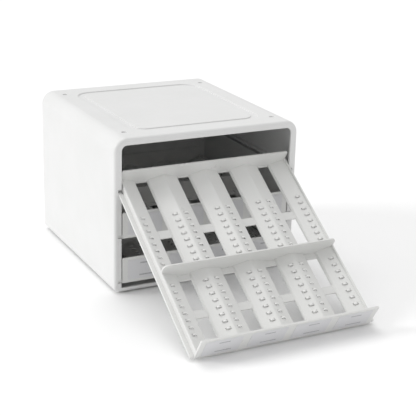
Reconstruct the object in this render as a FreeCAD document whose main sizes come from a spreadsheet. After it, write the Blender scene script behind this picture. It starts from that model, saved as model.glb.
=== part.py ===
# Spice drawer organizer: a tabletop cabinet with three shallow drawers.
# The top drawer is drawn out and hangs by its rear pegs, as when it shows what it holds.
#
# Frame: X to the right, Y to the back, Z up. The origin is on the table, under the
# middle of the cabinet, and the drawers open towards -Y.

import FreeCAD, Part
import math
import os

import Sketcher

doc = FreeCAD.newDocument("spice_drawer_organizer")

# Driving sizes, in millimetres and degrees.
SIZES = [
    # Cabinet
    ("cabinet_width", 273.0),
    ("cabinet_depth", 280.0),
    ("cabinet_height", 213.0),
    ("cabinet_wall", 2.5),
    ("top_corner_radius", 18.0),
    ("bottom_corner_radius", 8.0),
    ("front_edge_radius", 4.0),
    ("back_edge_radius", 1.2),
    ("lip_depth", 3.5),
    ("lip_side", 10.5),
    ("lip_bottom", 6.0),
    ("lip_top", 9.8),
    ("opening_top_radius", 7.5),
    ("opening_bottom_radius", 1.0),
    ("opening_edge_radius", 0.6),
    # Raised square on the top, inside its sunk border
    ("plateau_width", 176.0),
    ("plateau_depth", 208.0),
    ("plateau_radius", 16.0),
    ("border_width", 9.5),
    ("border_depth", 1.4),
    ("border_edge_radius", 0.9),
    # Feet, and the dimples that take the feet of a second cabinet
    ("foot_inset_across", 25.5),
    ("foot_inset_along", 29.0),
    ("foot_stand", 2.0),
    ("foot_radius", 3.4),
    ("foot_edge", 0.5),
    ("foot_head_radius", 5.0),
    ("foot_head_depth", 1.2),
    ("foot_head_clearance", 0.3),
    ("dimple_clearance", 0.4),
    ("dimple_depth", 1.5),
    # Back panel
    ("back_panel_thickness", 2.2),
    ("back_rebate", 1.2),
    ("back_panel_clearance", 0.15),
    # Drawer levels and the rails that carry them
    ("first_level", 17.5),
    ("level_pitch", 63.5),
    ("rail_thickness", 2.0),
    ("rail_drawer_clearance", 1.6),
    ("rail_back_gap", 4.0),
    ("rail_root", 0.6),
    ("notch_clearance", 0.8),
    ("peg_clearance", 0.3),
    # Drawer tray
    ("tray_side_clearance", 1.4),
    ("tray_wall", 1.8),
    ("tray_floor", 1.8),
    ("tray_side_height", 14.1),
    ("tray_back_reach", 13.0),
    ("tray_back_clearance", 0.4),
    ("back_wall_height", 27.1),
    ("back_wall_corner_radius", 3.0),
    ("front_bay_length", 116.5),
    ("cross_wall_height", 27.0),
    ("cross_wall_corner_radius", 6.5),
    ("front_panel_base", 1.0),
    ("front_panel_height", 36.6),
    ("front_panel_thickness", 2.4),
    ("front_panel_recess", 0.7),
    ("front_panel_corner_radius", 1.5),
    ("groove_floor", 17.0),
    ("groove_top", 19.8),
    ("groove_step", 2.3),
    ("crest_width", 2.8),
    ("crest_height", 10.8),
    # Windows, as wide as the floor of each groove: two behind the cross wall, two before it
    ("window_back_gap", 0.8),
    ("rear_bar_place", 73.0),
    ("rear_bar_width", 12.0),
    ("window_cross_gap", 6.0),
    ("front_window_cross_gap", 8.7),
    ("front_bar_front_gap", 50.8),
    ("front_bar_width", 11.5),
    ("front_window_panel_gap", 11.3),
    # Runner flange and pivot pegs
    ("flange_width", 5.6),
    ("flange_thickness", 3.0),
    ("flange_front_gap", 1.2),
    ("flange_stop_clearance", 0.12),
    ("peg_radius", 1.85),
    ("peg_height", 3.95),
    ("peg_end_gap", 0.8),
    ("drop_angle", 32.0),
    # Grip fingers and the slots that they stand in
    ("finger_pitch", 10.6),
    ("finger_thickness", 2.0),
    ("rear_row_start", 53.5),
    ("rear_row_end_gap", 6.0),
    ("front_row_cross_gap", 16.2),
    ("front_row_end_gap", 16.0),
    ("finger_root_near", 4.7),
    ("finger_root_width", 3.4),
    ("finger_tip_near", 6.8),
    ("finger_tip_width", 3.8),
    ("finger_tip_height", 9.9),
    ("slot_near", 4.3),
    ("slot_length", 6.7),
    ("slot_side_clearance", 0.9),
    ("grip_bar_gap", 0.3),
    ("grip_bar_depth", 3.0),
    ("grip_bar_overhang", 4.5),
    # Blank label cards on the front panels
    ("label_width", 50.0),
    ("label_height", 28.0),
    ("label_thickness", 0.4),
]

sheet = doc.addObject("Spreadsheet::Sheet", "Sizes")
for row, (alias, value) in enumerate(SIZES, start=1):
    sheet.set(f"A{row}", alias)
    sheet.set(f"B{row}", str(value))
    sheet.setAlias(f"B{row}", alias)
doc.recompute()


def size(alias):
    """The expression that reads one driving size."""
    return "Sizes." + alias


def number(expression):
    """The value of an expression, as a plain number."""
    value = sheet.evalExpression(expression)
    return float(getattr(value, "Value", value))


# Places that several pieces share, as expressions over the driving sizes.
CABINET_HALF = f"({size('cabinet_width')} / 2)"
CABINET_FRONT = f"(-{size('cabinet_depth')} / 2)"
CABINET_BACK = f"({size('cabinet_depth')} / 2)"
CABINET_BASE = size("foot_stand")
CABINET_TOP = f"({size('foot_stand')} + {size('cabinet_height')})"
CAVITY_HALF = f"({CABINET_HALF} - {size('cabinet_wall')})"
CAVITY_BASE = f"({CABINET_BASE} + {size('cabinet_wall')})"
CAVITY_TOP = f"({CABINET_TOP} - {size('cabinet_wall')})"
OPENING_HALF = f"({CABINET_HALF} - {size('lip_side')})"
OPENING_BASE = f"({CABINET_BASE} + {size('lip_bottom')})"
OPENING_TOP = f"({CABINET_TOP} - {size('lip_top')})"
LIP_BACK = f"({CABINET_FRONT} + {size('lip_depth')})"
CAVITY_HIGH_RADIUS = f"({size('top_corner_radius')} - {size('cabinet_wall')})"
CAVITY_LOW_RADIUS = f"({size('bottom_corner_radius')} - {size('cabinet_wall')})"
REBATE_HALF = f"({CAVITY_HALF} + {size('back_rebate')})"
REBATE_BASE = f"({CAVITY_BASE} - {size('back_rebate')})"
REBATE_TOP = f"({CAVITY_TOP} + {size('back_rebate')})"
REBATE_HIGH_RADIUS = f"({CAVITY_HIGH_RADIUS} + {size('back_rebate')})"
REBATE_LOW_RADIUS = f"({CAVITY_LOW_RADIUS} + {size('back_rebate')})"
RAIL_BACK = f"({CABINET_BACK} - {size('back_panel_thickness')} - {size('rail_back_gap')})"
CHANNEL_HALF = f"({size('peg_radius')} + {size('peg_clearance')})"
TRAY_HALF = f"({OPENING_HALF} - {size('tray_side_clearance')})"
TRAY_INNER = f"({TRAY_HALF} - {size('tray_wall')})"
FLANGE_END = f"({TRAY_HALF} + {size('flange_width')})"
TRAY_REACH = (
    f"({size('cabinet_depth')} - {size('front_panel_recess')} - {size('tray_back_reach')}"
    f" - {size('tray_back_clearance')} - {size('back_panel_thickness')})"
)
PANEL_BACK = f"({TRAY_REACH} - {size('front_panel_thickness')})"
# Counts that the outlines below are drawn for.
LEVELS = "3"
COLUMNS = "4"
# The columns share the tray's inner width evenly.
PITCH = f"(2 * {TRAY_INNER} / {COLUMNS})"
BACK_WALL_FRONT = f"({size('tray_wall')} - {size('tray_back_reach')})"
CROSS_WALL = f"({PANEL_BACK} - {size('front_bay_length')} - {size('tray_wall')})"
CROSS_WALL_FRONT = f"({CROSS_WALL} + {size('tray_wall')})"
CREST_HALF = f"({size('crest_width')} / 2)"
GROOVE_HALF = f"({size('groove_floor')} / 2)"
RIM_HALF = f"({size('groove_top')} / 2)"
SLOPE_RUN = f"({PITCH} / 2 - {CREST_HALF} - {RIM_HALF})"
RIM_HEIGHT = f"({size('tray_floor')} + {size('groove_step')})"
SLOPE = f"(({size('crest_height')} - {RIM_HEIGHT}) / {SLOPE_RUN})"
# The pegs turn just behind the lip, and the flange then stops against its front.
PIVOT_Y = f"({LIP_BACK} + {size('peg_radius')} + {size('peg_clearance')})"
FLANGE_START = (
    f"(({PIVOT_Y} - {CABINET_FRONT} + {size('flange_stop_clearance')}"
    f" + {size('peg_radius')} * sin({size('drop_angle')} * 1 deg))"
    f" / cos({size('drop_angle')} * 1 deg))"
)
CLOSED_Y = f"({CABINET_FRONT} + {size('front_panel_recess')} + {TRAY_REACH})"


def finger_row(start, bay_end, end_gap):
    """Where a row of grip fingers starts, and how many fit before its bay ends."""
    room = f"({bay_end} - {size(end_gap)} - {start} - {size('finger_thickness')})"
    return start, f"(floor({room} / {size('finger_pitch')}) + 1)"


ROWS = {
    "rear": finger_row(size("rear_row_start"), CROSS_WALL, "rear_row_end_gap"),
    "front": finger_row(
        f"({CROSS_WALL_FRONT} + {size('front_row_cross_gap')})", PANEL_BACK,
        "front_row_end_gap",
    ),
}



def level(index):
    """Height of the peg centres of one drawer, counted from the bottom."""
    return f"({size('first_level')} + {index} * {size('level_pitch')})"


def above_floor(height):
    """Local height, from the peg centre, of what lies this far above a tray's underside."""
    return f"({height} - {size('peg_height')})"


def new_body(label):
    body = doc.addObject("PartDesign::Body", label)
    body.Label = label
    body.AllowCompound = True
    return body


def origin_plane(body, role):
    return next(item for item in body.Origin.OriginFeatures if item.Role == role)


def attached_sketch(body, name, role, offset):
    """An empty sketch on one of the body's own planes, moved along the plane's normal."""
    sketch = body.newObject("Sketcher::SketchObject", name)
    sketch.AttachmentSupport = [(origin_plane(body, role), "")]
    sketch.MapMode = "FlatFace"
    sketch.setExpression("AttachmentOffset.Base.z", offset)
    return sketch


def loops_sketch(body, name, role, offset, loops):
    """A sketch of closed outlines, each a list of corner expressions."""
    sketch = attached_sketch(body, name, role, offset)
    lines = []
    constraints = []
    expressions = []
    for loop in loops:
        corners = [FreeCAD.Vector(number(x), number(y), 0) for x, y in loop]
        first = len(lines)
        count = len(corners)
        for index, corner in enumerate(corners):
            following = (index + 1) % count
            lines.append(Part.LineSegment(corner, corners[following]))
            constraints.append(
                Sketcher.Constraint("Coincident", first + index, 2, first + following, 1)
            )
        for index, (x, y) in enumerate(loop):
            expressions.append((len(constraints), x))
            constraints.append(
                Sketcher.Constraint("DistanceX", -1, 1, first + index, 1, corners[index].x)
            )
            expressions.append((len(constraints), y))
            constraints.append(
                Sketcher.Constraint("DistanceY", -1, 1, first + index, 1, corners[index].y)
            )
    sketch.addGeometry(lines, False)
    sketch.addConstraint(constraints)
    for index, expression in expressions:
        sketch.setExpression(f"Constraints[{index}]", expression)
    return sketch


def rounded_sketch(body, name, role, offset, box, low_radius, high_radius):
    """A sketch of one rectangle with rounded corners. box is left, right, low, high."""
    left, right, low, high = box
    sketch = attached_sketch(body, name, role, offset)
    ends = [
        (f"({left} + {low_radius})", low),
        (f"({right} - {low_radius})", low),
        (right, f"({low} + {low_radius})"),
        (right, f"({high} - {high_radius})"),
        (f"({right} - {high_radius})", high),
        (f"({left} + {high_radius})", high),
        (left, f"({high} - {high_radius})"),
        (left, f"({low} + {low_radius})"),
    ]
    places = [FreeCAD.Vector(number(x), number(y), 0) for x, y in ends]
    centres = (
        FreeCAD.Vector(places[1].x, places[2].y, 0),
        FreeCAD.Vector(places[4].x, places[3].y, 0),
        FreeCAD.Vector(places[5].x, places[6].y, 0),
        FreeCAD.Vector(places[0].x, places[7].y, 0),
    )
    radii = (low_radius, high_radius, high_radius, low_radius)
    for side in range(4):
        sketch.addGeometry(Part.LineSegment(places[2 * side], places[2 * side + 1]))
    for corner in range(4):
        circle = Part.Circle(
            centres[corner], FreeCAD.Vector(0, 0, 1), number(radii[corner])
        )
        start = (corner - 1) * math.pi / 2
        sketch.addGeometry(Part.ArcOfCircle(circle, start, start + math.pi / 2))
    for index, (x, y) in enumerate(ends):
        for kind, expression in (("DistanceX", x), ("DistanceY", y)):
            place = sketch.addConstraint(
                Sketcher.Constraint(kind, -1, 1, index // 2, index % 2 + 1, number(expression))
            )
            sketch.setExpression(f"Constraints[{place}]", expression)
    for corner in range(4):
        arc = 4 + corner
        sketch.addConstraint(Sketcher.Constraint("Coincident", arc, 1, corner, 2))
        sketch.addConstraint(Sketcher.Constraint("Coincident", arc, 2, (corner + 1) % 4, 1))
        place = sketch.addConstraint(
            Sketcher.Constraint("Radius", arc, number(radii[corner]))
        )
        sketch.setExpression(f"Constraints[{place}]", radii[corner])
    return sketch


def circles_sketch(body, name, role, offset, circles):
    """A sketch of circles, each a centre and a radius as expressions."""
    sketch = attached_sketch(body, name, role, offset)
    for index, (x, y, radius) in enumerate(circles):
        centre = FreeCAD.Vector(number(x), number(y), 0)
        sketch.addGeometry(Part.Circle(centre, FreeCAD.Vector(0, 0, 1), number(radius)))
        for kind, expression in (("DistanceX", x), ("DistanceY", y)):
            place = sketch.addConstraint(
                Sketcher.Constraint(kind, -1, 1, index, 3, number(expression))
            )
            sketch.setExpression(f"Constraints[{place}]", expression)
        place = sketch.addConstraint(Sketcher.Constraint("Radius", index, number(radius)))
        sketch.setExpression(f"Constraints[{place}]", radius)
    return sketch


def rectangle(left, right, low, high):
    return [(left, low), (right, low), (right, high), (left, high)]


def settle(body, feature):
    """Make a new feature the body's tip and work out its shape."""
    body.Tip = feature
    feature.recompute(True)
    return feature


def pad(body, sketch, name, length):
    feature = body.newObject("PartDesign::Pad", name)
    feature.Profile = sketch
    feature.setExpression("Length", length)
    return settle(body, feature)


def pocket(body, sketch, name, length, backwards=False):
    """Cut a sketch into the body, and make sure that it took something away."""
    before = body.Tip.Shape.Volume
    feature = body.newObject("PartDesign::Pocket", name)
    feature.Profile = sketch
    feature.setExpression("Length", length)
    feature.Reversed = backwards
    settle(body, feature)
    assert feature.Shape.Volume < before, name + " cuts nothing"
    return feature


def pattern_axis(body, letter):
    return next(item for item in body.Origin.OriginFeatures if item.Role == letter + "_Axis")


def row_pattern(body, name, originals, letter, step, count, forwards=True):
    """Repeat features in a row along X, Y or Z."""
    pattern = body.newObject("PartDesign::LinearPattern", name)
    pattern.Originals = originals
    pattern.Direction = (pattern_axis(body, letter), [""])
    pattern.Reversed = not forwards
    pattern.Mode = "Spacing"
    pattern.setExpression("Offset", step)
    pattern.setExpression("Occurrences", count)
    return settle(body, pattern)


def mirrored(body, name, originals):
    """Copy features from one side of the body to the other."""
    feature = body.newObject("PartDesign::Mirrored", name)
    feature.Originals = originals
    feature.MirrorPlane = (origin_plane(body, "YZ_Plane"), [""])
    return settle(body, feature)


def rounded(body, name, radius, chosen):
    """Fillet the edges of the body's tip for which chosen(edge) is true."""
    base = body.Tip
    names = [f"Edge{n}" for n, edge in enumerate(base.Shape.Edges, start=1) if chosen(edge)]
    assert names, name + " finds no edge"
    feature = body.newObject("PartDesign::Fillet", name)
    feature.Base = (base, names)
    feature.setExpression("Radius", radius)
    return settle(body, feature)


def runs_along(edge, axis):
    """True for a straight edge parallel to an axis (0, 1 or 2)."""
    if len(edge.Vertexes) != 2:
        return False
    span = edge.Vertexes[1].Point - edge.Vertexes[0].Point
    return edge.Length > 1e-6 and abs(abs(span[axis]) - edge.Length) < 1e-6


def near(value, expression, slack=0.01):
    return abs(value - number(expression)) < slack


def make_shell():
    """The moulded cabinet: walls, front lip, rails, dimples and foot pockets."""
    body = new_body("cabinet_shell")
    outline = rounded_sketch(
        body, "shell_outline", "XZ_Plane", f"-{CABINET_BACK}",
        (f"-{CABINET_HALF}", CABINET_HALF, CABINET_BASE, CABINET_TOP),
        size("bottom_corner_radius"), size("top_corner_radius"),
    )
    pad(body, outline, "shell_block", size("cabinet_depth"))
    rounded(
        body, "front_edge", size("front_edge_radius"),
        lambda e: near(e.BoundBox.YMax, CABINET_FRONT),
    )
    rounded(
        body, "back_edge", size("back_edge_radius"),
        lambda e: near(e.BoundBox.YMin, CABINET_BACK),
    )

    cavity = rounded_sketch(
        body, "cavity_outline", "XZ_Plane", f"-{CABINET_BACK}",
        (f"-{CAVITY_HALF}", CAVITY_HALF, CAVITY_BASE, CAVITY_TOP),
        CAVITY_LOW_RADIUS, CAVITY_HIGH_RADIUS,
    )
    pocket(body, cavity, "cavity", f"{size('cabinet_depth')} - {size('lip_depth')}", True)
    rebate = rounded_sketch(
        body, "rebate_outline", "XZ_Plane", f"-{CABINET_BACK}",
        (f"-{REBATE_HALF}", REBATE_HALF, REBATE_BASE, REBATE_TOP),
        REBATE_LOW_RADIUS, REBATE_HIGH_RADIUS,
    )
    pocket(body, rebate, "back_rebate", size("back_panel_thickness"), True)

    opening = rounded_sketch(
        body, "opening_outline", "XZ_Plane", f"-{LIP_BACK}",
        (f"-{OPENING_HALF}", OPENING_HALF, OPENING_BASE, OPENING_TOP),
        size("opening_bottom_radius"), size("opening_top_radius"),
    )
    pocket(body, opening, "front_opening", size("lip_depth"), True)
    rounded(
        body, "opening_front_edge", size("opening_edge_radius"),
        lambda e: near(e.BoundBox.YMax, CABINET_FRONT)
        and near(e.BoundBox.YMin, CABINET_FRONT)
        and e.BoundBox.XMax < number(OPENING_HALF) + 0.5
        and e.BoundBox.XMin > -number(OPENING_HALF) - 0.5
        and e.BoundBox.ZMin > number(OPENING_BASE) - 0.5
        and e.BoundBox.ZMax < number(OPENING_TOP) + 0.5,
    )

    notch_low = f"({level(0)} - {CHANNEL_HALF})"
    notch_high = f"({level(0)} + {CHANNEL_HALF})"
    notch_side = f"({FLANGE_END} + {size('notch_clearance')})"
    notches = loops_sketch(
        body, "notch_outlines", "XZ_Plane", f"-{LIP_BACK}",
        [
            rectangle(f"-{notch_side}", f"-({OPENING_HALF} - 1)", notch_low, notch_high),
            rectangle(f"({OPENING_HALF} - 1)", notch_side, notch_low, notch_high),
        ],
    )
    notch_pocket = pocket(body, notches, "notches", size("lip_depth"), True)
    row_pattern(body, "notch_levels", [notch_pocket], "Z", size("level_pitch"), LEVELS)

    rail_inner = f"({TRAY_HALF} + {size('rail_drawer_clearance')})"
    rail_outer = f"({CAVITY_HALF} + {size('rail_root')})"
    rail_loops = []
    for low in (f"({notch_low} - {size('rail_thickness')})", notch_high):
        high = f"({low} + {size('rail_thickness')})"
        rail_loops.append(rectangle(f"-{rail_outer}", f"-{rail_inner}", low, high))
        rail_loops.append(rectangle(rail_inner, rail_outer, low, high))
    rails = loops_sketch(
        body, "rail_outlines", "XZ_Plane", f"-{RAIL_BACK}", rail_loops
    )
    rail_pad = pad(body, rails, "rails", f"{RAIL_BACK} - {LIP_BACK}")
    row_pattern(body, "rail_levels", [rail_pad], "Z", size("level_pitch"), LEVELS)

    border_x = f"({size('plateau_width')} / 2 + {size('border_width')})"
    border_y = f"({size('plateau_depth')} / 2 + {size('border_width')})"
    border_radius = f"({size('plateau_radius')} + {size('border_width')})"
    border = rounded_sketch(
        body, "border_outline", "XY_Plane", CABINET_TOP,
        (f"-{border_x}", border_x, f"-{border_y}", border_y), border_radius, border_radius,
    )
    pocket(body, border, "top_border", size("border_depth"))
    plateau_x = f"({size('plateau_width')} / 2)"
    plateau_y = f"({size('plateau_depth')} / 2)"
    plateau = rounded_sketch(
        body, "plateau_outline", "XY_Plane", f"{CABINET_TOP} - {size('border_depth')}",
        (f"-{plateau_x}", plateau_x, f"-{plateau_y}", plateau_y),
        size("plateau_radius"), size("plateau_radius"),
    )
    pad(body, plateau, "top_plateau", size("border_depth"))
    rounded(
        body, "border_edges", size("border_edge_radius"),
        lambda e: near(e.BoundBox.ZMin, CABINET_TOP)
        and near(e.BoundBox.ZMax, CABINET_TOP)
        and abs(e.CenterOfMass.x) < number(border_x) + 0.01
        and abs(e.CenterOfMass.y) < number(border_y) + 0.01,
    )

    dimple = f"({size('foot_radius')} + {size('dimple_clearance')})"
    dimples = circles_sketch(
        body, "dimple_circles", "XY_Plane", CABINET_TOP,
        [(x, y, dimple) for x, y in foot_places()],
    )
    pocket(body, dimples, "dimples", size("dimple_depth"))
    foot_pocket = f"({size('foot_head_radius')} + {size('foot_head_clearance')})"
    foot_pockets = circles_sketch(
        body, "foot_pocket_circles", "XY_Plane", CABINET_BASE,
        [(x, y, foot_pocket) for x, y in foot_places()],
    )
    pocket(body, foot_pockets, "foot_pockets", size("foot_head_depth"), True)
    return body


def foot_places():
    """The centres of the four feet, and of the dimples above them."""
    across = f"({CABINET_HALF} - {size('foot_inset_across')})"
    along = f"({CABINET_BACK} - {size('foot_inset_along')})"
    return [(x, y) for x in (f"-{across}", across) for y in (f"-{along}", along)]


def make_back_panel():
    """The plate that closes the cabinet from behind, in the shell's rebate."""
    body = new_body("back_panel")
    gap = size("back_panel_clearance")
    side = f"({REBATE_HALF} - {gap})"
    outline = rounded_sketch(
        body, "panel_outline", "XZ_Plane", f"-{CABINET_BACK}",
        (f"-{side}", side, f"({REBATE_BASE} + {gap})", f"({REBATE_TOP} - {gap})"),
        f"({REBATE_LOW_RADIUS} - {gap})", f"({REBATE_HIGH_RADIUS} - {gap})",
    )
    pad(body, outline, "panel_plate", size("back_panel_thickness"))
    return body


def make_foot(label, x, y):
    """A rubber foot: a head glued in its pocket, and the nub that the cabinet stands on."""
    body = new_body(label)
    nub = size("foot_radius")
    edge = size("foot_edge")
    head = size("foot_head_radius")
    stand = size("foot_stand")
    head_top = f"({stand} + {size('foot_head_depth')})"
    profile = loops_sketch(
        body, "foot_profile", "XZ_Plane", "0",
        [[
            ("0", "0"),
            (f"({nub} - {edge})", "0"),
            (nub, edge),
            (nub, stand),
            (head, stand),
            (head, head_top),
            ("0", head_top),
        ]],
    )
    turn = body.newObject("PartDesign::Revolution", "foot_turn")
    turn.Profile = profile
    turn.ReferenceAxis = (profile, ["V_Axis"])
    turn.Angle = 360
    body.Tip = turn
    body.setExpression("Placement.Base.x", x)
    body.setExpression("Placement.Base.y", y)
    return body


def place_drawer_piece(body, drawer):
    """Seat a piece that was drawn about the pegs' centre line in its drawer."""
    name, index, hangs = drawer
    body.setExpression("Placement.Base.z", level(index))
    if hangs:
        body.setExpression("Placement.Base.y", PIVOT_Y)
        body.Placement.Rotation = FreeCAD.Rotation(FreeCAD.Vector(1, 0, 0), 1)
        body.setExpression("Placement.Rotation.Angle", size("drop_angle"))
    else:
        body.setExpression("Placement.Base.y", CLOSED_Y)


def column_centre(column):
    return f"(({column} - 1.5) * {PITCH})"


def crest_centre(crest):
    return f"(({crest} - 2) * {PITCH})"


def tray_section():
    """Outline across a tray: side walls, and four stepped grooves between sloping crests."""
    crest_side = f"({PITCH} / 2 - {CREST_HALF})"
    wall_top = above_floor(size("tray_side_height"))
    crest_top = above_floor(size("crest_height"))
    crest_under = above_floor(f"({size('crest_height')} - {size('tray_floor')})")
    floor_top = above_floor(size("tray_floor"))
    rim_top = above_floor(RIM_HEIGHT)
    rim_side = f"({RIM_HALF} + {size('tray_floor')})"
    rim_under = above_floor(f"({size('groove_step')} + {SLOPE} * {size('tray_floor')})")
    floor_side = f"({GROOVE_HALF} + {size('tray_floor')})"
    underside = above_floor("0")
    points = [
        (f"-{TRAY_HALF}", underside),
        (f"-{TRAY_HALF}", wall_top),
        (f"-{TRAY_INNER}", wall_top),
        (f"-{TRAY_INNER}", crest_top),
    ]
    for column in range(4):
        centre = column_centre(column)
        points.append((f"({centre} - {crest_side})", crest_top))
        points.append((f"({centre} - {RIM_HALF})", rim_top))
        points.append((f"({centre} - {GROOVE_HALF})", floor_top))
        points.append((f"({centre} + {GROOVE_HALF})", floor_top))
        points.append((f"({centre} + {RIM_HALF})", rim_top))
        points.append((f"({centre} + {crest_side})", crest_top))
    points += [
        (TRAY_INNER, crest_top),
        (TRAY_INNER, wall_top),
        (TRAY_HALF, wall_top),
        (TRAY_HALF, underside),
        (TRAY_INNER, underside),
        (TRAY_INNER, crest_under),
    ]
    for column in reversed(range(4)):
        centre = column_centre(column)
        points.append((f"({centre} + {crest_side})", crest_under))
        points.append((f"({centre} + {rim_side})", rim_under))
        points.append((f"({centre} + {floor_side})", underside))
        points.append((f"({centre} - {floor_side})", underside))
        points.append((f"({centre} - {rim_side})", rim_under))
        points.append((f"({centre} - {crest_side})", crest_under))
    points += [
        (f"-{TRAY_INNER}", crest_under),
        (f"-{TRAY_INNER}", underside),
    ]
    return points


def cross_plate(body, name, start, thickness, base, top):
    """A wall across the whole tray, from one height above its underside up to another."""
    sketch = loops_sketch(
        body, name + "_outline", "XZ_Plane", start,
        [rectangle(f"-{TRAY_HALF}", TRAY_HALF, above_floor(base), above_floor(top))],
    )
    return pad(body, sketch, name, thickness)


def round_wall_top(body, name, start, thickness, top, radius):
    """Round the two upper corners of a wall across the tray."""
    middle = f"-({start} + {thickness} / 2)"
    rounded(
        body, name, radius,
        lambda e: runs_along(e, 1)
        and near(e.CenterOfMass.y, middle)
        and near(e.CenterOfMass.z, above_floor(top)),
    )


def make_tray(drawer):
    """One drawer's moulded tray, drawn about its pegs with the front towards -Y."""
    body = new_body(drawer[0] + "_tray")
    back = f"-{size('tray_back_reach')}"
    section = loops_sketch(body, "tray_section", "XZ_Plane", back, [tray_section()])
    pad(body, section, "tray_sheet", f"{PANEL_BACK} + {size('tray_back_reach')}")

    flange = loops_sketch(
        body, "flange_section", "XZ_Plane", FLANGE_START,
        [rectangle(
            f"({TRAY_HALF} - {size('tray_wall')} / 2)", FLANGE_END,
            f"(-{size('peg_radius')})", f"({size('flange_thickness')} - {size('peg_radius')})",
        )],
    )
    flange_reach = f"{TRAY_REACH} - {size('flange_front_gap')} - {FLANGE_START}"
    flange_pad = pad(body, flange, "flange", flange_reach)
    peg = circles_sketch(
        body, "peg_circle", "YZ_Plane", TRAY_INNER, [("0", "0", size("peg_radius"))]
    )
    peg_reach = f"{CAVITY_HALF} - {size('peg_end_gap')} - {TRAY_INNER}"
    peg_pad = pad(body, peg, "peg", peg_reach)
    mirrored(body, "other_side", [flange_pad, peg_pad])

    walls = (
        ("back_wall", back, size("tray_wall"), "0", size("back_wall_height"),
         size("back_wall_corner_radius")),
        ("cross_wall", CROSS_WALL, size("tray_wall"), "0",
         size("cross_wall_height"), size("cross_wall_corner_radius")),
        ("front_panel", PANEL_BACK, size("front_panel_thickness"), size("front_panel_base"),
         size("front_panel_height"), size("front_panel_corner_radius")),
    )
    for name, start, thickness, base, top, radius in walls:
        cross_plate(body, name, start, thickness, base, top)
        round_wall_top(body, name + "_corners", start, thickness, top, radius)

    windows = loops_sketch(
        body, "window_outlines", "XY_Plane", above_floor(size("tray_floor")), window_loops()
    )
    window_pocket = pocket(body, windows, "windows", size("tray_floor"))
    row_pattern(body, "window_columns", [window_pocket], "X", PITCH, COLUMNS)

    for row in ROWS:
        slots = loops_sketch(
            body, row + "_slot_outlines", "XY_Plane", above_floor(size("crest_height")),
            slot_loops(row),
        )
        slot_pocket = pocket(body, slots, row + "_slots", size("crest_height"))
        grid = row_pattern(body, row + "_slot_grid", [slot_pocket], "X", PITCH, COLUMNS)
        grid.Direction2 = (pattern_axis(body, "Y"), [""])
        grid.Reversed2 = True
        grid.Mode2 = "Spacing"
        grid.setExpression("Offset2", size("finger_pitch"))
        grid.setExpression("Occurrences2", ROWS[row][1])
        settle(body, grid)
    place_drawer_piece(body, drawer)
    return body


def window_loops():
    """The windows in the first groove's floor, two on each side of the cross wall."""
    centre = column_centre(0)
    rear_bar = size("rear_bar_place")
    front_bar = f"({PANEL_BACK} - {size('front_bar_front_gap')})"
    reaches = (
        (f"({BACK_WALL_FRONT} + {size('window_back_gap')})", rear_bar),
        (f"({rear_bar} + {size('rear_bar_width')})",
         f"({CROSS_WALL} - {size('window_cross_gap')})"),
        (f"({CROSS_WALL_FRONT} + {size('front_window_cross_gap')})",
         f"({front_bar} - {size('front_bar_width')})"),
        (front_bar, f"({PANEL_BACK} - {size('front_window_panel_gap')})"),
    )
    loops = []
    for start, end in reaches:
        loops.append(rectangle(
            f"({centre} - {GROOVE_HALF})", f"({centre} + {GROOVE_HALF})",
            f"(-{end})", f"(-{start})",
        ))
    return loops


def slot_loops(row):
    """The first slots of a row of grip fingers, in both slopes of the first groove."""
    centre = column_centre(0)
    far = f"({PITCH} / 2 - {size('slot_near')})"
    close = f"({far} - {size('slot_length')})"
    first = ROWS[row][0]
    start = f"({first} - {size('slot_side_clearance')})"
    end = f"({first} + {size('finger_thickness')} + {size('slot_side_clearance')})"
    loops = []
    for left, right in ((f"-{far}", f"-{close}"), (close, far)):
        loops.append(rectangle(
            f"({centre} + {left})", f"({centre} + {right})", f"-{end}", f"-{start}"
        ))
    return loops


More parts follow.
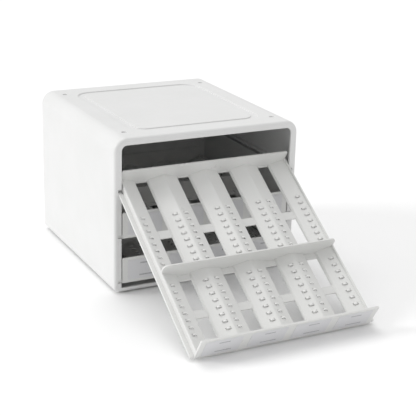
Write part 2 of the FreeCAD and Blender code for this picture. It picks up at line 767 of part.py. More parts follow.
def make_grip(drawer, row, crest):
    """A soft comb under one crest: a bar, and fingers that stand up through the slots."""
    body = new_body(f"{drawer[0]}_{row}_grip_{crest + 1}")
    centre = crest_centre(crest)
    top_height = f"({size('crest_height')} - {size('tray_floor')} - {size('grip_bar_gap')})"
    bar_top = above_floor(top_height)
    bar_bottom = above_floor(f"({top_height} - {size('grip_bar_depth')})")
    spread = f"({CREST_HALF} + {size('grip_bar_depth')} / {SLOPE})"
    wall_side = f"({TRAY_INNER} - {size('grip_bar_gap')})"
    left_top = f"({centre} - {CREST_HALF})"
    left_bottom = f"({centre} - {spread})"
    right_top = f"({centre} + {CREST_HALF})"
    right_bottom = f"({centre} + {spread})"
    sides = [-1, 1]
    if crest == 0:
        left_top = left_bottom = f"-{wall_side}"
        sides = [1]
    if crest == 4:
        right_top = right_bottom = wall_side
        sides = [-1]
    first_finger, finger_count = ROWS[row]
    start = f"({first_finger} - {size('grip_bar_overhang')})"
    bar = loops_sketch(
        body, "bar_section", "XZ_Plane", start,
        [[
            (left_bottom, bar_bottom),
            (right_bottom, bar_bottom),
            (right_top, bar_top),
            (left_top, bar_top),
        ]],
    )
    bar_length = (
        f"({finger_count} - 1) * {size('finger_pitch')}"
        f" + {size('finger_thickness')} + 2 * {size('grip_bar_overhang')}"
    )
    pad(body, bar, "bar", bar_length)

    root_height = above_floor(f"({top_height} - 0.75 * {size('grip_bar_depth')})")
    tip_height = above_floor(size("finger_tip_height"))
    root_near = size("finger_root_near")
    tip_near = size("finger_tip_near")
    finger_loops = []
    for side in sides:
        finger_loops.append([
            (f"({centre} + ({side}) * {root_near})", root_height),
            (f"({centre} + ({side}) * ({root_near} + {size('finger_root_width')}))", root_height),
            (f"({centre} + ({side}) * ({tip_near} + {size('finger_tip_width')}))", tip_height),
            (f"({centre} + ({side}) * {tip_near})", tip_height),
        ])
    finger = loops_sketch(
        body, "finger_section", "XZ_Plane", first_finger, finger_loops
    )
    finger_pad = pad(body, finger, "finger", size("finger_thickness"))
    row_pattern(
        body, "fingers", [finger_pad], "Y", size("finger_pitch"), finger_count, False
    )
    place_drawer_piece(body, drawer)
    return body


def make_labels(drawer):
    """Blank cards in a row on a drawer's front, one under each groove."""
    body = new_body(drawer[0] + "_labels")
    half = f"({size('label_width')} / 2)"
    low = (
        f"(({size('front_panel_base')} + {size('front_panel_height')}"
        f" - {size('label_height')}) / 2)"
    )
    high = f"({low} + {size('label_height')})"
    loops = []
    for column in range(4):
        centre = column_centre(column)
        loops.append(rectangle(
            f"({centre} - {half})", f"({centre} + {half})", above_floor(low), above_floor(high)
        ))
    cards = loops_sketch(body, "card_outlines", "XZ_Plane", TRAY_REACH, loops)
    pad(body, cards, "cards", size("label_thickness"))
    place_drawer_piece(body, drawer)
    return body


# Each drawer: its name, its level from the bottom, and whether it hangs open.
DRAWERS = (
    ("top_drawer", 2, True),
    ("middle_drawer", 1, False),
    ("bottom_drawer", 0, False),
)

pieces = [make_shell(), make_back_panel()]
foot_names = ("foot_front_left", "foot_rear_left", "foot_front_right", "foot_rear_right")
for foot_name, (foot_x, foot_y) in zip(foot_names, foot_places()):
    pieces.append(make_foot(foot_name, foot_x, foot_y))
for drawer in DRAWERS:
    pieces.append(make_tray(drawer))
    pieces.append(make_labels(drawer))
    for row in ROWS:
        for crest in range(5):
            pieces.append(make_grip(drawer, row, crest))
doc.recompute()

# Nothing is written unless every feature and every piece is sound.
for item in doc.Objects:
    assert not {"Invalid", "Error"} & set(item.State), f"{item.Name}: {item.State}"
for piece in pieces:
    assert not piece.Shape.isNull(), piece.Label + " is empty"
    assert piece.Shape.isValid(), piece.Label + " is not valid"

os.makedirs("parts", exist_ok=True)
for piece in pieces:
    piece.Shape.exportStep(f"parts/{piece.Label}.step")
    print(piece.Label, len(piece.Shape.Solids), round(piece.Shape.Volume))
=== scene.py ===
"""Spice drawer organizer: a white cabinet with three drop-down drawers, dressed for its portrait.

The file is laid out as an add-on. Run as a script, it builds every piece around the
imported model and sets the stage.
"""

import math

import bmesh
import bpy
from mathutils import Matrix, Vector


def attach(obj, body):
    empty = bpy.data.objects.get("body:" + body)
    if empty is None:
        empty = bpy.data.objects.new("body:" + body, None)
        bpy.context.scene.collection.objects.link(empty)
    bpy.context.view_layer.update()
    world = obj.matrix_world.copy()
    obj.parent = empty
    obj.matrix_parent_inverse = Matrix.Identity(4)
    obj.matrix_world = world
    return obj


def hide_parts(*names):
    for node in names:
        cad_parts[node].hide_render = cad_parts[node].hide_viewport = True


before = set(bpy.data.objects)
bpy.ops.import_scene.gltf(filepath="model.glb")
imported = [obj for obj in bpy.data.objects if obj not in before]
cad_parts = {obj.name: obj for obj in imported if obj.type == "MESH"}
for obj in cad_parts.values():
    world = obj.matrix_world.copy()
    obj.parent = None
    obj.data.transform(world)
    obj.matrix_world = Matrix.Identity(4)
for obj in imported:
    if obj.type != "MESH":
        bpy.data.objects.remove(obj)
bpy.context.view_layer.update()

bl_info = {
    "name": "Spice Drawer Organizer",
    "version": (1, 0, 0),
    "blender": (4, 5, 0),
    "location": "3D View > Sidebar > Organizer",
    "description": "Builds a white spice cabinet with three drop-down drawers",
    "category": "Add Mesh",
}

MM = 0.001
CABINET = "cabinet"
DRAWERS = ("top_drawer", "middle_drawer", "bottom_drawer")
GRIP_ROWS = ("rear", "front")
CRESTS = 5

# How each drawer sits: its pegs' centre line in the row frame, and how far it has dropped.
DROP = math.radians(32.0)
PEGS = {
    "top_drawer": (Vector((0.0, -0.13435, 0.1445)), DROP),
    "middle_drawer": (Vector((0.0, 0.1244, 0.0810)), 0.0),
    "bottom_drawer": (Vector((0.0, 0.1244, 0.0175)), 0.0),
}


class OrganizerSizes(bpy.types.PropertyGroup):
    """Sizes that a maker would change."""

    edge_radius: bpy.props.FloatProperty(
        name="Edge Radius", description="Rounding of the moulded pieces' outer edges",
        default=0.35 * MM, min=0.0, unit="LENGTH",
    )
    peg_height: bpy.props.FloatProperty(
        name="Peg Height", description="Height of the pegs' centres above a tray's underside",
        default=3.95 * MM, min=0.0, unit="LENGTH",
    )
    column_pitch: bpy.props.FloatProperty(
        name="Column Pitch", description="Distance between neighbouring grooves",
        default=61.4 * MM, min=0.0, unit="LENGTH",
    )
    columns: bpy.props.IntProperty(
        name="Columns", description="Grooves side by side in a drawer", default=4, min=1,
    )
    finger_pitch: bpy.props.FloatProperty(
        name="Finger Pitch", description="Distance between neighbouring grip fingers",
        default=10.6 * MM, min=0.0, unit="LENGTH",
    )
    fingers: bpy.props.IntProperty(
        name="Fingers", description="Grip fingers in one row", default=8, min=1,
    )
    finger_thickness: bpy.props.FloatProperty(
        name="Finger Thickness", description="Size of a finger along its row",
        default=2.0 * MM, min=0.0, unit="LENGTH",
    )
    rear_start: bpy.props.FloatProperty(
        name="Rear Row Start", description="First finger of the rear row, from the pegs",
        default=53.5 * MM, unit="LENGTH",
    )
    front_start: bpy.props.FloatProperty(
        name="Front Row Start", description="First finger of the front row, from the pegs",
        default=161.0 * MM, unit="LENGTH",
    )
    label_width: bpy.props.FloatProperty(
        name="Label Width", description="Width of a write-on label",
        default=50.0 * MM, min=0.0, unit="LENGTH",
    )
    label_height: bpy.props.FloatProperty(
        name="Label Height", description="Height of a write-on label",
        default=28.0 * MM, min=0.0, unit="LENGTH",
    )
    foot_spacing: bpy.props.FloatProperty(
        name="Foot Spacing", description="Distance between the centres of the feet",
        default=222.0 * MM, min=0.0, unit="LENGTH",
    )


class OrganizerFinishes(bpy.types.PropertyGroup):
    """Colours that a maker would change."""

    housing: bpy.props.FloatVectorProperty(
        name="Housing", description="Plastic of the housing",
        subtype="COLOR", size=3, default=(0.75, 0.75, 0.747), min=0.0, max=1.0,
    )
    back: bpy.props.FloatVectorProperty(
        name="Back Panel", description="Plastic of the back panel",
        subtype="COLOR", size=3, default=(0.72, 0.72, 0.715), min=0.0, max=1.0,
    )
    drawer: bpy.props.FloatVectorProperty(
        name="Drawers", description="Plastic of the drawers",
        subtype="COLOR", size=3, default=(0.74, 0.74, 0.728), min=0.0, max=1.0,
    )
    grip: bpy.props.FloatVectorProperty(
        name="Grips", description="Soft rubber of the grip fingers",
        subtype="COLOR", size=3, default=(0.85, 0.85, 0.84), min=0.0, max=1.0,
    )
    label: bpy.props.FloatVectorProperty(
        name="Labels", description="Paper of the write-on labels",
        subtype="COLOR", size=3, default=(0.70, 0.70, 0.715), min=0.0, max=1.0,
    )
    rule: bpy.props.FloatVectorProperty(
        name="Label Rules", description="Printed rules on the labels",
        subtype="COLOR", size=3, default=(0.22, 0.22, 0.24), min=0.0, max=1.0,
    )
    foot: bpy.props.FloatVectorProperty(
        name="Feet", description="Rubber of the feet",
        subtype="COLOR", size=3, default=(0.42, 0.42, 0.42), min=0.0, max=1.0,
    )


class OrganizerStage(bpy.types.PropertyGroup):
    """Light and camera."""

    key_strength: bpy.props.FloatProperty(
        name="Key Strength", description="Strength of the soft light from the left",
        default=1.05, min=0.0,
    )
    top_strength: bpy.props.FloatProperty(
        name="Top Strength", description="Strength of the soft light from above",
        default=0.85, min=0.0,
    )
    surround: bpy.props.FloatProperty(
        name="Surround", description="Brightness of the white surroundings",
        default=0.71, min=0.0, subtype="FACTOR",
    )
    focal_length: bpy.props.FloatProperty(
        name="Focal Length", description="Focal length of the camera in millimetres",
        default=99.0, min=1.0,
    )


# Materials


def finish_nodes(name):
    """A new material, with its node tree and its shader."""
    material = bpy.data.materials.new(name)
    material.use_nodes = True
    tree = material.node_tree
    shader = tree.nodes["Principled BSDF"]
    return material, tree, shader


def add_node(tree, kind, label="", **settings):
    node = tree.nodes.new(kind)
    node.label = label
    for key, value in settings.items():
        setattr(node, key, value)
    return node


def object_coordinates(tree):
    return add_node(tree, "ShaderNodeTexCoord", "place on the piece").outputs["Object"]


def noise(tree, coordinates, label, scale, detail=2.0, roughness=0.5):
    node = add_node(tree, "ShaderNodeTexNoise", label)
    node.inputs["Scale"].default_value = scale
    node.inputs["Detail"].default_value = detail
    node.inputs["Roughness"].default_value = roughness
    tree.links.new(coordinates, node.inputs["Vector"])
    return node.outputs["Fac"]


def spread(tree, value, low, high, label="", start=0.3, end=0.7):
    """Map a noise's middle range to a range of the maker's own."""
    node = add_node(tree, "ShaderNodeMapRange", label)
    node.inputs["From Min"].default_value = start
    node.inputs["From Max"].default_value = end
    node.inputs["To Min"].default_value = low
    node.inputs["To Max"].default_value = high
    tree.links.new(value, node.inputs["Value"])
    return node.outputs["Result"]


def mix_colours(tree, factor, first, second, label=""):
    node = add_node(tree, "ShaderNodeMix", label, data_type="RGBA")
    tree.links.new(factor, node.inputs[0])
    for socket, colour in ((node.inputs[6], first), (node.inputs[7], second)):
        if isinstance(colour, bpy.types.NodeSocket):
            tree.links.new(colour, socket)
        else:
            socket.default_value = (*colour, 1.0)
    return node.outputs[2]


def bump(tree, height, strength, distance, below=None):
    node = add_node(tree, "ShaderNodeBump", "surface relief")
    node.inputs["Strength"].default_value = strength
    node.inputs["Distance"].default_value = distance
    tree.links.new(height, node.inputs["Height"])
    if below is not None:
        tree.links.new(below, node.inputs["Normal"])
    return node.outputs["Normal"]


def shaded(colour, factor):
    return tuple(channel * factor for channel in colour)


def moulded_plastic(name, colour, smooth, rough, grain_scale, grain_depth):
    """Satin plastic: faint cloudy colour, uneven gloss, and the mould's fine spark grain."""
    material, tree, shader = finish_nodes(name)
    place = object_coordinates(tree)
    clouds = spread(tree, noise(tree, place, "faint clouds", 14.0, 3.0), 0.0, 1.0)
    tinted = (colour[0] * 0.965, colour[1] * 0.968, colour[2] * 0.962)
    tree.links.new(
        mix_colours(tree, clouds, colour, tinted, "plastic"), shader.inputs["Base Color"]
    )
    gloss = noise(tree, place, "uneven gloss", 48.0, 4.0, 0.6)
    tree.links.new(spread(tree, gloss, smooth, rough), shader.inputs["Roughness"])
    grain = noise(tree, place, "spark grain", grain_scale, 2.0, 0.7)
    waves = noise(tree, place, "sink waves", 30.0, 1.0)
    soft = bump(tree, waves, 0.25, 0.00006)
    tree.links.new(bump(tree, grain, 0.35, grain_depth, soft), shader.inputs["Normal"])
    shader.inputs["IOR"].default_value = 1.49
    shader.inputs["Specular IOR Level"].default_value = 0.45
    return material


def soft_rubber(name, colour):
    """Soft rubber: matt, a little dusty, with a fine skin."""
    material, tree, shader = finish_nodes(name)
    place = object_coordinates(tree)
    dust = spread(tree, noise(tree, place, "dust", 160.0, 4.0, 0.65), 0.0, 1.0)
    tree.links.new(
        mix_colours(tree, dust, colour, shaded(colour, 0.93), "rubber"),
        shader.inputs["Base Color"],
    )
    tree.links.new(
        spread(tree, noise(tree, place, "skin", 90.0), 0.5, 0.64), shader.inputs["Roughness"]
    )
    skin = noise(tree, place, "fine skin", 2600.0, 2.0)
    tree.links.new(bump(tree, skin, 0.3, 0.00003), shader.inputs["Normal"])
    shader.inputs["Sheen Weight"].default_value = 0.15
    shader.inputs["Sheen Roughness"].default_value = 0.4
    return material


def label_paper(name, colour, rule_colour):
    """Uncoated label paper with two short printed rules, of lengths of its own on each card."""
    material, tree, shader = finish_nodes(name)
    place = object_coordinates(tree)
    uv = add_node(tree, "ShaderNodeUVMap", "place on the card", uv_map="card")
    parts = add_node(tree, "ShaderNodeSeparateXYZ")
    tree.links.new(uv.outputs["UV"], parts.inputs[0])
    own = add_node(
        tree, "ShaderNodeAttribute", "the card's own number", attribute_name="card_number"
    )

    def compute(operation, first, second=0.0):
        node = add_node(tree, "ShaderNodeMath", operation=operation)
        for socket, value in zip(node.inputs, (first, second)):
            if isinstance(value, bpy.types.NodeSocket):
                tree.links.new(value, socket)
            else:
                socket.default_value = value
        return node.outputs[0]

    def rule(height, shortest, longest, left, right):
        length = spread(tree, own.outputs["Fac"], shortest, longest, "length", 0.0, 1.0)
        centre = spread(tree, own.outputs["Fac"], left, right, "centre", 0.0, 1.0)
        along = compute("ABSOLUTE", compute("SUBTRACT", parts.outputs["X"], centre))
        within = compute("LESS_THAN", along, compute("MULTIPLY", length, 0.5))
        above = compute("ABSOLUTE", compute("SUBTRACT", parts.outputs["Y"], height))
        return compute("MULTIPLY", within, compute("LESS_THAN", above, 0.035))

    rules = compute("MAXIMUM", rule(0.79, 0.23, 0.31, 0.48, 0.53), rule(0.18, 0.35, 0.46, 0.51, 0.57))
    print_wear = spread(tree, noise(tree, place, "uneven print", 900.0, 3.0), 0.35, 0.75)
    rules = compute("MULTIPLY", rules, print_wear)
    fibres = spread(tree, noise(tree, place, "paper fibres", 700.0, 5.0, 0.7), 0.0, 1.0)
    paper = mix_colours(tree, fibres, colour, shaded(colour, 0.96), "paper")
    tree.links.new(
        mix_colours(tree, rules, paper, rule_colour, "printed rule"),
        shader.inputs["Base Color"],
    )
    tree.links.new(spread(tree, fibres, 0.5, 0.62, "", 0.0, 1.0), shader.inputs["Roughness"])
    tree.links.new(bump(tree, fibres, 0.2, 0.00002), shader.inputs["Normal"])
    return material


# Meshes


def linked_object(name, mesh):
    piece = bpy.data.objects.new(name, mesh)
    bpy.context.scene.collection.objects.link(piece)
    return piece


def plain_mesh(piece):
    """Bake a piece's modifiers into its mesh, and take them off."""
    bpy.context.view_layer.update()
    evaluated = piece.evaluated_get(bpy.context.evaluated_depsgraph_get())
    mesh = bpy.data.meshes.new_from_object(evaluated)
    mesh.name = piece.name
    old = piece.data
    piece.modifiers.clear()
    piece.data = mesh
    bpy.data.meshes.remove(old)
    return piece


def soften_edges(piece, radius, segments=2):
    """Round a piece's sharp edges and even out its shading."""
    bevel = piece.modifiers.new("edge_radius", "BEVEL")
    bevel.width = radius
    bevel.segments = segments
    bevel.limit_method = "ANGLE"
    bevel.angle_limit = math.radians(30)
    bevel.use_clamp_overlap = True
    for polygon in piece.data.polygons:
        polygon.use_smooth = True
    normals = piece.modifiers.new("even_normals", "WEIGHTED_NORMAL")
    normals.keep_sharp = False
    normals.weight = 100
    return plain_mesh(piece)


def softened_copy(name, nodes, radius, segments=2):
    """A copy of the frame's own solids, with whole faces and rounded edges."""
    joined = bmesh.new()
    for node in nodes:
        joined.from_mesh(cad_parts[node].data)
    bmesh.ops.remove_doubles(joined, verts=joined.verts, dist=0.002 * MM)
    bmesh.ops.dissolve_limit(
        joined, angle_limit=math.radians(0.5), verts=joined.verts, edges=joined.edges
    )
    mesh = bpy.data.meshes.new(name)
    joined.to_mesh(mesh)
    joined.free()
    return soften_edges(linked_object(name, mesh), radius, segments)


def finished(piece, material, body, slot, *nodes):
    """Give a piece its finish, its body and the frame nodes that it stands for."""
    piece.data.materials.clear()
    piece.data.materials.append(material)
    for polygon in piece.data.polygons:
        polygon.material_index = 0
    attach(piece, body)
    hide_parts(*nodes)
    return piece


def drawer_matrix(drawer):
    place, drop = PEGS[drawer]
    return Matrix.Translation(place) @ Matrix.Rotation(drop, 4, "X")


# Geometry node trees


class NodeSheet:
    """A geometry node tree that is written from left to right."""

    def __init__(self, name):
        self.tree = bpy.data.node_groups.new(name, "GeometryNodeTree")
        self.identifiers = {}
        self.add_socket("Geometry", "NodeSocketGeometry", None)
        self.tree.interface.new_socket(
            "Geometry", in_out="OUTPUT", socket_type="NodeSocketGeometry"
        )
        self.start = self.tree.nodes.new("NodeGroupInput")
        self.end = self.tree.nodes.new("NodeGroupOutput")

    def add_socket(self, name, kind, default):
        socket = self.tree.interface.new_socket(name, in_out="INPUT", socket_type=kind)
        if default is not None:
            socket.default_value = default
        self.identifiers[name] = socket.identifier

    def given(self, name):
        return self.start.outputs[name]

    def node(self, kind, inputs=None, **settings):
        node = self.tree.nodes.new(kind)
        for key, value in settings.items():
            setattr(node, key, value)
        for key, value in (inputs or {}).items():
            if isinstance(value, bpy.types.NodeSocket):
                self.tree.links.new(value, node.inputs[key])
            else:
                node.inputs[key].default_value = value
        return node

    def math(self, operation, first, second):
        return self.node(
            "ShaderNodeMath", {0: first, 1: second}, operation=operation
        ).outputs[0]

    def vector(self, x=0.0, y=0.0, z=0.0):
        return self.node("ShaderNodeCombineXYZ", {"X": x, "Y": y, "Z": z}).outputs[0]

    def finish(self, geometry, material_input):
        """End the tree with real geometry that has its material."""
        real = self.node("GeometryNodeRealizeInstances", {"Geometry": geometry})
        painted = self.node(
            "GeometryNodeSetMaterial",
            {"Geometry": real.outputs[0], "Material": self.given(material_input)},
        )
        self.tree.links.new(painted.outputs[0], self.end.inputs[0])
        return self.tree


def grown(piece, sheet, **values):
    """Run a tree on a piece with the given inputs, and bake the result."""
    modifier = piece.modifiers.new(sheet.tree.name, "NODES")
    modifier.node_group = sheet.tree
    for name, value in values.items():
        modifier[sheet.identifiers[name.replace("_", " ").title()]] = value
    return plain_mesh(piece)


def finger_rows_sheet():
    """Rows of fingers down both slopes of every groove, from one finger."""
    sheet = NodeSheet("grip_finger_rows")
    for name, kind, default in (
        ("Fingers", "NodeSocketInt", 8),
        ("Finger Pitch", "NodeSocketFloat", 0.0106),
        ("Rear Start", "NodeSocketFloat", 0.0535),
        ("Front Start", "NodeSocketFloat", 0.161),
        ("Columns", "NodeSocketInt", 4),
        ("Column Pitch", "NodeSocketFloat", 0.0615),
        ("Rubber", "NodeSocketMaterial", None),
    ):
        sheet.add_socket(name, kind, default)
    step = sheet.vector(y=sheet.math("MULTIPLY", sheet.given("Finger Pitch"), -1.0))
    rows = sheet.node("GeometryNodeJoinGeometry")
    for start in ("Rear Start", "Front Start"):
        place = sheet.vector(y=sheet.math("MULTIPLY", sheet.given(start), -1.0))
        row = sheet.node(
            "GeometryNodeMeshLine",
            {"Count": sheet.given("Fingers"), "Start Location": place, "Offset": step},
        )
        sheet.tree.links.new(row.outputs[0], rows.inputs[0])
    comb = sheet.node(
        "GeometryNodeInstanceOnPoints",
        {"Points": rows.outputs[0], "Instance": sheet.given("Geometry")},
    )
    comb = sheet.node("GeometryNodeRealizeInstances", {"Geometry": comb.outputs[0]})
    half = sheet.math("MULTIPLY", sheet.given("Column Pitch"), 0.5)
    left = sheet.node(
        "GeometryNodeTransform",
        {
            "Geometry": comb.outputs[0],
            "Translation": sheet.vector(x=sheet.math("MULTIPLY", half, -1.0)),
        },
    )
    mirrored = sheet.node(
        "GeometryNodeTransform",
        {
            "Geometry": comb.outputs[0],
            "Translation": sheet.vector(x=half),
            "Scale": (-1.0, 1.0, 1.0),
        },
    )
    right = sheet.node("GeometryNodeFlipFaces", {"Mesh": mirrored.outputs[0]})
    pair = sheet.node("GeometryNodeJoinGeometry")
    sheet.tree.links.new(left.outputs[0], pair.inputs[0])
    sheet.tree.links.new(right.outputs[0], pair.inputs[0])
    grooves = sheet.node(
        "GeometryNodeInstanceOnPoints",
        {"Points": column_line(sheet), "Instance": pair.outputs[0]},
    )
    sheet.finish(grooves.outputs[0], "Rubber")
    return sheet


def column_line(sheet):
    """A point at the middle of every column."""
    half = sheet.math("MULTIPLY", sheet.given("Column Pitch"), -0.5)
    gaps = sheet.math("SUBTRACT", sheet.given("Columns"), 1.0)
    return sheet.node(
        "GeometryNodeMeshLine",
        {
            "Count": sheet.given("Columns"),
            "Start Location": sheet.vector(x=sheet.math("MULTIPLY", gaps, half)),
            "Offset": sheet.vector(x=sheet.given("Column Pitch")),
        },
    ).outputs[0]


def card_row_sheet():
    """A row of cards on a drawer's front, each with a number of its own."""
    sheet = NodeSheet("label_card_row")
    for name, kind, default in (
        ("Columns", "NodeSocketInt", 4),
        ("Column Pitch", "NodeSocketFloat", 0.0615),
        ("Seed", "NodeSocketInt", 3),
        ("Paper", "NodeSocketMaterial", None),
    ):
        sheet.add_socket(name, kind, default)
    cards = sheet.node(
        "GeometryNodeInstanceOnPoints",
        {"Points": column_line(sheet), "Instance": sheet.given("Geometry")},
    )
    number = sheet.node(
        "FunctionNodeRandomValue", {"Seed": sheet.given("Seed")}, data_type="FLOAT"
    )
    numbered = sheet.node(
        "GeometryNodeStoreNamedAttribute",
        {
            "Geometry": cards.outputs[0],
            "Name": "card_number",
            "Value": number.outputs[1],
        },
        data_type="FLOAT",
        domain="INSTANCE",
    )
    sheet.finish(numbered.outputs[0], "Paper")
    return sheet


def foot_corners_sheet():
    """One foot in each corner of the underside."""
    sheet = NodeSheet("foot_corners")
    for name, kind, default in (
        ("Spacing", "NodeSocketFloat", 0.222),
        ("Rubber", "NodeSocketMaterial", None),
    ):
        sheet.add_socket(name, kind, default)
    corners = sheet.node(
        "GeometryNodeMeshGrid",
        {
            "Size X": sheet.given("Spacing"),
            "Size Y": sheet.given("Spacing"),
            "Vertices X": 2,
            "Vertices Y": 2,
        },
    )
    feet = sheet.node(
        "GeometryNodeInstanceOnPoints",
        {"Points": corners.outputs["Mesh"], "Instance": sheet.given("Geometry")},
    )
    sheet.finish(feet.outputs[0], "Rubber")
    return sheet


# Shapes that the trees repeat


def lofted(name, rings):
    """A closed mesh through rings of points of the same count."""
    shape = bmesh.new()
    loops = [[shape.verts.new(point) for point in ring] for ring in rings]
    count = len(loops[0])
    for lower, upper in zip(loops, loops[1:]):
        for index in range(count):
            following = (index + 1) % count
            shape.faces.new((lower[index], lower[following], upper[following], upper[index]))
    shape.faces.new(list(reversed(loops[0])))
    shape.faces.new(loops[-1])
    bmesh.ops.recalc_face_normals(shape, faces=shape.faces)
    mesh = bpy.data.meshes.new(name)
    shape.to_mesh(mesh)
    shape.free()
    for polygon in mesh.polygons:
        polygon.use_smooth = True
    return mesh


def oval(centre, across, along, points=12, squareness=0.6):
    """A rounded-square ring about a centre, spanned by two vectors."""
    ring = []
    for index in range(points):
        angle = 2 * math.pi * index / points
        x = math.copysign(abs(math.cos(angle)) ** squareness, math.cos(angle))
        y = math.copysign(abs(math.sin(angle)) ** squareness, math.sin(angle))
        ring.append(centre + across * (x / 2) + along * (y / 2))
    return ring


def finger_mesh(sizes):
    """One soft finger at a crest, curving out over the groove at its right."""
    thickness = sizes.finger_thickness
    peg = sizes.peg_height
    # Distance from the crest's centre line, height above the tray's underside, and girth.
    spine = (
        (6.2, 6.2, 3.8), (6.2, 7.6, 3.8), (6.2, 8.9, 3.8), (7.0, 9.5, 2.9),
        (8.0, 9.75, 2.2), (9.1, 9.7, 1.7), (10.0, 9.45, 1.3), (10.5, 9.2, 0.6),
    )
    points = [Vector((away * MM, -thickness / 2, height * MM - peg)) for away, height, _ in spine]
    rings = []
    for index, (point, (_, _, girth)) in enumerate(zip(points, spine)):
        before = points[max(index - 1, 0)]
        after = points[min(index + 1, len(points) - 1)]
        run = (after - before).normalized()
        across = Vector((-run.z, 0.0, run.x))
        width = thickness * (0.6 if girth < 1.0 else 1.0)
        rings.append(oval(point, across * girth * MM, Vector((0.0, width, 0.0))))
    return lofted("grip_finger", rings)


def comb_bars(sizes, drawer):
    """The bars under the crests that join the fingers of a row."""
    bars = bmesh.new()
    half_crest = 1.4 * MM
    depth = 3.0 * MM
    spread_low = half_crest + depth / 0.3445
    overhang = 4.5 * MM
    inner_wall = 122.5 * MM
    top = 8.7 * MM - sizes.peg_height
    length = (sizes.fingers - 1) * sizes.finger_pitch + sizes.finger_thickness + 2 * overhang
    for start in (sizes.rear_start, sizes.front_start):
        for crest in range(CRESTS):
            centre = (crest - (CRESTS - 1) / 2) * sizes.column_pitch
            left = (-inner_wall, -inner_wall) if crest == 0 else (
                centre - spread_low, centre - half_crest
            )
            right = (inner_wall, inner_wall) if crest == CRESTS - 1 else (
                centre + spread_low, centre + half_crest
            )
            back = -(start - overhang)
            corners = []
            for y in (back, back - length):
                corners.append([
                    bars.verts.new((left[0], y, top - depth)),
                    bars.verts.new((right[0], y, top - depth)),
                    bars.verts.new((right[1], y, top)),
                    bars.verts.new((left[1], y, top)),
                ])
            first, last = corners
            for index in range(4):
                following = (index + 1) % 4
                bars.faces.new((first[index], first[following], last[following], last[index]))
            bars.faces.new(first)
            bars.faces.new(list(reversed(last)))
    bmesh.ops.recalc_face_normals(bars, faces=bars.faces)
    mesh = bpy.data.meshes.new(drawer + "_comb_bars")
    bars.to_mesh(mesh)
    bars.free()
    return soften_edges(linked_object(drawer + "_comb_bars", mesh), 0.3 * MM)


def card_mesh(sizes):
    """One label card with rounded corners, facing -Y, with its own UV map."""
    width, height = sizes.label_width, sizes.label_height
    radius, thickness, corner_points = 1.6 * MM, 0.36 * MM, 6
    outline = []
    for corner, (x_sign, z_sign) in enumerate(((1, 1), (-1, 1), (-1, -1), (1, -1))):
        for step in range(corner_points + 1):
            angle = (corner + step / corner_points) * math.pi / 2
            outline.append((
                x_sign * (width / 2 - radius) + radius * math.cos(angle),
                z_sign * (height / 2 - radius) + radius * math.sin(angle),
            ))
    edge = 0.08 * MM
    rings = [
        [Vector((x, 0.0, z)) for x, z in outline],
        [Vector((x, -(thickness - edge), z)) for x, z in outline],
        [
            Vector((x * (1 - 2 * edge / width), -thickness, z * (1 - 2 * edge / height)))
            for x, z in outline
        ],
    ]
    mesh = lofted("label_card", rings)
    layer = mesh.uv_layers.new(name="card")
    for loop in mesh.loops:
        point = mesh.vertices[loop.vertex_index].co
        layer.data[loop.index].uv = (point.x / width + 0.5, point.z / height + 0.5)
    for polygon in mesh.polygons:
        polygon.use_smooth = False
    return mesh


def foot_mesh():
    """A rubber foot: a glued head and the domed nub that it stands on."""
    profile = (
        (0.6, 0.0), (2.7, 0.0), (3.1, 0.12), (3.35, 0.4), (3.4, 0.9), (3.4, 1.9),
        (3.5, 2.0), (4.8, 2.0), (5.0, 2.15), (5.0, 3.05), (4.85, 3.2), (0.6, 3.2),
    )
    rings = []
    for radius, height in profile:
        rings.append([
            Vector((
                radius * MM * math.cos(2 * math.pi * index / 32),
                radius * MM * math.sin(2 * math.pi * index / 32),
                height * MM,
            ))
            for index in range(32)
        ])
    return lofted("rubber_foot", rings)


# Pieces


class ORGANIZER_OT_housing(bpy.types.Operator):
    """Build the moulded housing with its lip, rails, raised top and dimples"""

    bl_idname = "organizer.housing"
    bl_label = "Housing"

    def execute(self, context):
        finishes = context.scene.organizer_finishes
        material = moulded_plastic(
            "housing_plastic", finishes.housing, 0.3, 0.4, 1500.0, 0.00005
        )
        piece = softened_copy(
            "housing", ("cabinet_shell",), context.scene.organizer_sizes.edge_radius, 3
        )
        finished(piece, material, CABINET, "cabinet_white", "cabinet_shell")
        return {"FINISHED"}


class ORGANIZER_OT_back_panel(bpy.types.Operator):
    """Build the panel that closes the housing from behind"""

    bl_idname = "organizer.back_panel"
    bl_label = "Back Panel"

    def execute(self, context):
        finishes = context.scene.organizer_finishes
        material = moulded_plastic(
            "back_panel_plastic", finishes.back, 0.42, 0.54, 900.0, 0.00008
        )
        piece = softened_copy(
            "rear_panel", ("back_panel",), context.scene.organizer_sizes.edge_radius
        )
        finished(piece, material, CABINET, "back_white", "back_panel")
        return {"FINISHED"}


class ORGANIZER_OT_feet(bpy.types.Operator):
    """Set a rubber foot in each corner of the underside"""

    bl_idname = "organizer.feet"
    bl_label = "Feet"

    def execute(self, context):
        material = soft_rubber("foot_rubber", context.scene.organizer_finishes.foot)
        piece = grown(
            linked_object("feet", foot_mesh()), foot_corners_sheet(),
            spacing=context.scene.organizer_sizes.foot_spacing, rubber=material,
        )
        nodes = [
            f"foot_{end}_{side}" for end in ("front", "rear") for side in ("left", "right")
        ]
        finished(piece, material, CABINET, "foot_rubber", *nodes)
        return {"FINISHED"}


class ORGANIZER_OT_trays(bpy.types.Operator):
    """Build the three moulded drawer trays"""

    bl_idname = "organizer.trays"
    bl_label = "Trays"

    def execute(self, context):
        finishes = context.scene.organizer_finishes
        material = moulded_plastic(
            "drawer_plastic", finishes.drawer, 0.27, 0.37, 1300.0, 0.00006
        )
        radius = context.scene.organizer_sizes.edge_radius
        for drawer in DRAWERS:
            piece = softened_copy(drawer + "_body", (drawer + "_tray",), radius)
            finished(piece, material, drawer, "drawer_white", drawer + "_tray")
        return {"FINISHED"}


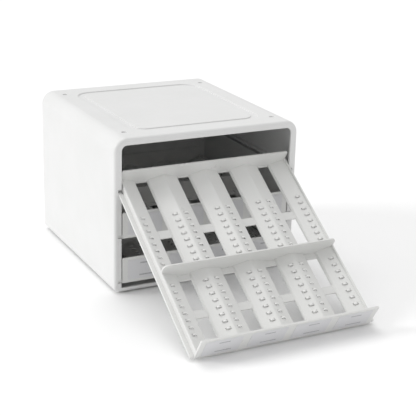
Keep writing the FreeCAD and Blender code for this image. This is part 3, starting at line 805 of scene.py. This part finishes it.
class ORGANIZER_OT_grips(bpy.types.Operator):
    """Grow the rows of soft grip fingers on every drawer"""

    bl_idname = "organizer.grips"
    bl_label = "Grips"

    def execute(self, context):
        sizes = context.scene.organizer_sizes
        material = soft_rubber("grip_rubber", context.scene.organizer_finishes.grip)
        sheet = finger_rows_sheet()
        for drawer in DRAWERS:
            piece = grown(
                linked_object(drawer + "_grips", finger_mesh(sizes)), sheet,
                fingers=sizes.fingers, finger_pitch=sizes.finger_pitch,
                rear_start=sizes.rear_start, front_start=sizes.front_start,
                columns=sizes.columns, column_pitch=sizes.column_pitch, rubber=material,
            )
            bars = comb_bars(sizes, drawer)
            joined = bmesh.new()
            joined.from_mesh(piece.data)
            joined.from_mesh(bars.data)
            joined.to_mesh(piece.data)
            joined.free()
            bpy.data.objects.remove(bars)
            piece.data.transform(drawer_matrix(drawer))
            nodes = [
                f"{drawer}_{row}_grip_{crest + 1}"
                for row in GRIP_ROWS for crest in range(CRESTS)
            ]
            finished(piece, material, drawer, "grip_soft", *nodes)
        return {"FINISHED"}


class ORGANIZER_OT_labels(bpy.types.Operator):
    """Lay out the write-on label cards on every drawer's front"""

    bl_idname = "organizer.labels"
    bl_label = "Labels"

    def execute(self, context):
        sizes = context.scene.organizer_sizes
        finishes = context.scene.organizer_finishes
        material = label_paper("label_paper", finishes.label, finishes.rule)
        sheet = card_row_sheet()
        for number, drawer in enumerate(DRAWERS):
            piece = grown(
                linked_object(drawer + "_cards", card_mesh(sizes)), sheet,
                columns=sizes.columns, column_pitch=sizes.column_pitch, seed=number,
                paper=material,
            )
            middle = Vector((0.0, -263.7 * MM, 18.8 * MM - sizes.peg_height))
            piece.data.transform(drawer_matrix(drawer) @ Matrix.Translation(middle))
            finished(piece, material, drawer, "label_card", drawer + "_labels")
        return {"FINISHED"}


def soft_light(name, source, strength, spread_angle):
    """A broad, distant light that comes from the direction source."""
    light = bpy.data.lights.new(name, "SUN")
    light.energy = strength
    light.angle = math.radians(spread_angle)
    holder = bpy.data.objects.new(name, light)
    bpy.context.scene.collection.objects.link(holder)
    holder.rotation_euler = (-Vector(source)).to_track_quat("-Z", "Y").to_euler()
    return holder


class ORGANIZER_OT_stage(bpy.types.Operator):
    """Lay the pale floor and set the lights and the camera"""

    bl_idname = "organizer.stage"
    bl_label = "Stage"

    def execute(self, context):
        stage = context.scene.organizer_stage
        scene = context.scene

        floor_material, tree, shader = finish_nodes("floor_paper")
        place = object_coordinates(tree)
        clouds = spread(tree, noise(tree, place, "soft clouds", 1.6), 0.0, 1.0)
        tree.links.new(
            mix_colours(tree, clouds, (0.97, 0.97, 0.97), (0.96, 0.96, 0.96)),
            shader.inputs["Base Color"],
        )
        shader.inputs["Roughness"].default_value = 0.7
        floor = bmesh.new()
        bmesh.ops.create_grid(floor, x_segments=8, y_segments=8, size=6.0)
        mesh = bpy.data.meshes.new("floor")
        floor.to_mesh(mesh)
        floor.free()
        mesh.materials.append(floor_material)
        linked_object("floor", mesh)

        world = bpy.data.worlds.new("studio")
        scene.world = world
        world.use_nodes = True
        surround = world.node_tree.nodes["Background"]
        surround.inputs["Color"].default_value = (1.0, 1.0, 1.0, 1.0)
        surround.inputs["Strength"].default_value = stage.surround
        scene.view_settings.view_transform = "Standard"

        soft_light("key_light", (-0.85, 0.32, 0.41), stage.key_strength, 20.0)
        soft_light("top_light", (-0.1, 0.35, 0.93), stage.top_strength, 45.0)

        camera = bpy.data.cameras.new("portrait_camera")
        camera.sensor_width = 36.0
        camera.lens = stage.focal_length
        camera.clip_start = 0.05
        camera.clip_end = 30.0
        holder = bpy.data.objects.new("portrait_camera", camera)
        scene.collection.objects.link(holder)
        holder.matrix_world = camera_place()
        scene.camera = holder
        return {"FINISHED"}


def camera_place():
    """Where the camera stands and how it looks: turned right, tipped down and rolled a little."""
    turn, tip, roll = math.radians(27.38), math.radians(19.17), math.radians(1.63)
    forward = Vector((
        math.sin(turn) * math.cos(tip), math.cos(turn) * math.cos(tip), -math.sin(tip)
    ))
    right = Vector((math.cos(turn), -math.sin(turn), 0.0))
    up = right.cross(forward)
    rolled_right = math.cos(roll) * right + math.sin(roll) * up
    rolled_up = -math.sin(roll) * right + math.cos(roll) * up
    place = Matrix((rolled_right, rolled_up, -forward)).transposed().to_4x4()
    place.translation = (-0.6737, -1.4418, 0.6144)
    return place


class ORGANIZER_PT_panel(bpy.types.Panel):
    """Sidebar panel that lists the organizer's sizes, finishes and pieces"""

    bl_idname = "ORGANIZER_PT_panel"
    bl_label = "Spice Drawer Organizer"
    bl_space_type = "VIEW_3D"
    bl_region_type = "UI"
    bl_category = "Organizer"

    def draw(self, context):
        layout = self.layout
        for group in (
            context.scene.organizer_sizes,
            context.scene.organizer_finishes,
            context.scene.organizer_stage,
        ):
            box = layout.box()
            for name in group.__annotations__:
                box.prop(group, name)
        for operator in OPERATORS:
            layout.operator(operator.bl_idname)


OPERATORS = (
    ORGANIZER_OT_housing,
    ORGANIZER_OT_back_panel,
    ORGANIZER_OT_feet,
    ORGANIZER_OT_trays,
    ORGANIZER_OT_grips,
    ORGANIZER_OT_labels,
    ORGANIZER_OT_stage,
)
GROUPS = (
    ("organizer_sizes", OrganizerSizes),
    ("organizer_finishes", OrganizerFinishes),
    ("organizer_stage", OrganizerStage),
)


def register():
    for name, group in GROUPS:
        bpy.utils.register_class(group)
        setattr(bpy.types.Scene, name, bpy.props.PointerProperty(type=group))
    for operator in OPERATORS:
        bpy.utils.register_class(operator)
    bpy.utils.register_class(ORGANIZER_PT_panel)


def unregister():
    bpy.utils.unregister_class(ORGANIZER_PT_panel)
    for operator in reversed(OPERATORS):
        bpy.utils.unregister_class(operator)
    for name, group in reversed(GROUPS):
        delattr(bpy.types.Scene, name)
        bpy.utils.unregister_class(group)


def main():
    register()
    for operator in OPERATORS:
        family, name = operator.bl_idname.split(".")
        getattr(getattr(bpy.ops, family), name)()


if __name__ == "__main__":
    main()
